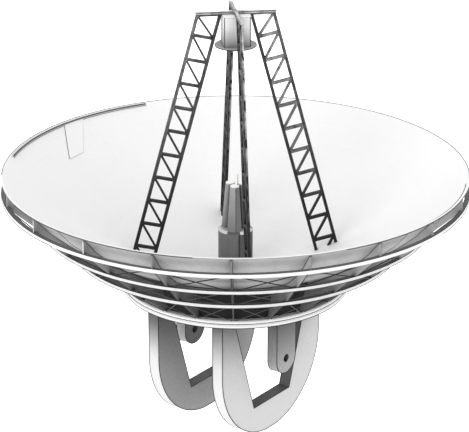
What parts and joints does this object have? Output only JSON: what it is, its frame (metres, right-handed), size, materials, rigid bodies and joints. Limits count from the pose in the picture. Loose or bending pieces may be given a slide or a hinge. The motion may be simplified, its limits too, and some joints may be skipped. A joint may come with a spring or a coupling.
{
  "type": "scale model of a radio telescope dish",
  "caption": "Ribbed parabolic dish with a quadripod, subreflector, feed cones and D-shaped elevation wheels below, as a 1:2 scale model.",
  "frame": {"origin": "on the elevation axis, midway between the two bearing lugs", "axes": "+Z along the dish's axis towards the subreflector, +X along the elevation axis"},
  "size_m": [35.08, 35.08, 32.775],
  "materials": {
    "white_paint": "satin",
    "pale_paint": "satin",
    "grey_paint": "satin",
    "dark_paint": "satin"
  },
  "bodies": {
    "root": {"reflector": "white_paint", "rim_ring": "white_paint", "rib_01": "pale_paint", "rib_02": "pale_paint", "rib_03": "pale_paint", "rib_04": "pale_paint", "rib_05": "pale_paint", "rib_06": "pale_paint", "rib_07": "pale_paint", "rib_08": "pale_paint", "rib_09": "pale_paint", "rib_10": "pale_paint", "rib_11": "pale_paint", "rib_12": "pale_paint", "rib_13": "pale_paint", "rib_14": "pale_paint", "rib_15": "pale_paint", "rib_16": "pale_paint", "rib_17": "pale_paint", "rib_18": "pale_paint", "rib_19": "pale_paint", "rib_20": "pale_paint", "hoop_1": "white_paint", "hoop_2": "white_paint", "hoop_3": "white_paint", "base_ring": "white_paint", "hub_drum": "dark_paint", "girder_right": "pale_paint", "girder_left": "pale_paint", "girder_middle": "pale_paint", "leg_1": "dark_paint", "leg_2": "dark_paint", "leg_3": "dark_paint", "leg_4": "dark_paint", "apex_cross": "grey_paint", "subreflector_housing": "pale_paint", "subreflector": "pale_paint", "feed_tower": "grey_paint", "feed_cone_1": "grey_paint", "feed_cone_2": "grey_paint", "feed_cone_3": "grey_paint", "wheel_right": "white_paint", "wheel_left": "white_paint", "lug_right": "pale_paint", "lug_left": "pale_paint"}
  },
  "joints": []
}
